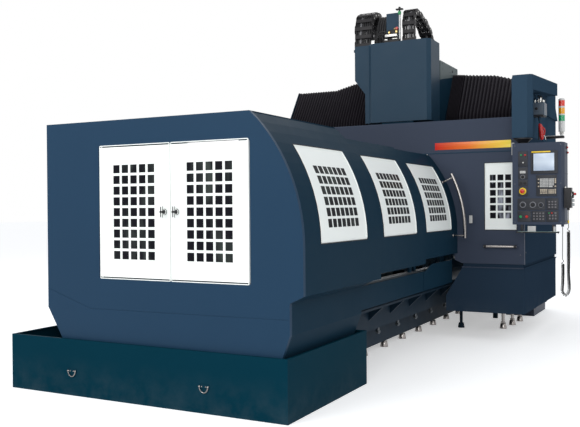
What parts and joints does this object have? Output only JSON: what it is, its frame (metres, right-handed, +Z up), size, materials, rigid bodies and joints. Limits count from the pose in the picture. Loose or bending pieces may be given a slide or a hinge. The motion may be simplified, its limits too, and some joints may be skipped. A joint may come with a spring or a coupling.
{
  "type": "bridge milling machine",
  "caption": "Bridge-type milling machine with a moving table in a splash guard, sliding side doors, double front doors and a swivelling control pendant.",
  "frame": {"origin": "on the floor under the coolant tank, in the table's centre plane and halfway along the tank's depth", "axes": "+X to the operator's right along the front, +Y to the back along the table's travel, +Z up"},
  "size_m": [3.9083, 6.6768, 3.695],
  "materials": {
    "front_paint": "satin",
    "deep_paint": "satin",
    "cabin_paint": "satin",
    "white_paint": "satin",
    "grey_paint": "satin",
    "casting": "painted",
    "bright_steel": "ground",
    "bellows_cloth": "coated",
    "black_plastic": "matte",
    "cord_black": "matte",
    "lamp_white": "gloss"
  },
  "bodies": {
    "root": {"coolant_tank": "deep_paint", "front_wall": "front_paint", "guard_roof": "deep_paint", "left_guard_wall": "deep_paint", "right_skirt": "deep_paint", "fixed_guard": "deep_paint", "fixed_guard_window": "white_paint", "guard_track": "bright_steel", "bed": "casting", "table": "bright_steel", "front_way_cover": "bright_steel", "rear_way_cover": "bright_steel", "right_chip_trough": "deep_paint", "left_chip_trough": "deep_paint", "right_column": "casting", "left_column": "casting", "crossbeam": "casting", "right_cabin_front": "cabin_paint", "cabin_window": "white_paint", "left_cabin_front": "cabin_paint", "beam_cover": "cabin_paint", "right_cabin_side": "deep_paint", "left_cabin_side": "deep_paint", "right_cabin_skirt": "cabin_paint", "left_cabin_skirt": "cabin_paint", "pendant_arm": "deep_paint", "upper_cabin_side": "deep_paint", "signal_tower": "lamp_white", "rear_guard": "deep_paint", "electrical_cabinet": "cabin_paint", "left_bellows": "bellows_cloth", "right_bellows": "bellows_cloth"},
    "front_left_leaf": {"front_left_door": "white_paint"},
    "front_right_leaf": {"front_right_door": "white_paint"},
    "middle_section": {"middle_guard": "deep_paint", "middle_guard_window": "white_paint"},
    "operator_section": {"operator_door": "deep_paint", "operator_door_window": "white_paint"},
    "carriage": {"head_cover": "front_paint", "saddle": "deep_paint", "drive_housing": "grey_paint", "ram": "bright_steel", "left_cable_chain": "black_plastic", "right_cable_chain": "black_plastic"},
    "pendant": {"pendant_swivel": "black_plastic", "pendant_box": "cabin_paint", "handwheel": "black_plastic", "handwheel_cord_top": "cord_black", "handwheel_cord_curl": "cord_black", "handwheel_cord_tail": "cord_black"}
  },
  "joints": [
    {"name": "front_left_hinge", "type": "hinge", "parent": "root", "child": "front_left_leaf", "pos_m": [-0.6265, -0.611, 1.37], "axis": [0, 0, -1], "range_deg": [0, 100]},
    {"name": "front_right_hinge", "type": "hinge", "parent": "root", "child": "front_right_leaf", "pos_m": [0.6265, -0.611, 1.37], "axis": [0, 0, 1], "range_deg": [0, 100]},
    {"name": "middle_guard_slide", "type": "slide", "parent": "root", "child": "middle_section", "axis": [0, -1, 0], "range_m": [0, 1.1]},
    {"name": "operator_door_slide", "type": "slide", "parent": "middle_section", "child": "operator_section", "axis": [0, -1, 0], "range_m": [0, 0.85]},
    {"name": "carriage_slide", "type": "slide", "parent": "root", "child": "carriage", "axis": [1, 0, 0], "range_m": [-0.8, 0.45], "deforming": ["left_bellows", "right_bellows"]},
    {"name": "pendant_swivel_hinge", "type": "hinge", "parent": "root", "child": "pendant", "pos_m": [1.7125, 2.88, 2.03], "axis": [0, 0, 1], "range_deg": [-90, 60]}
  ]
}
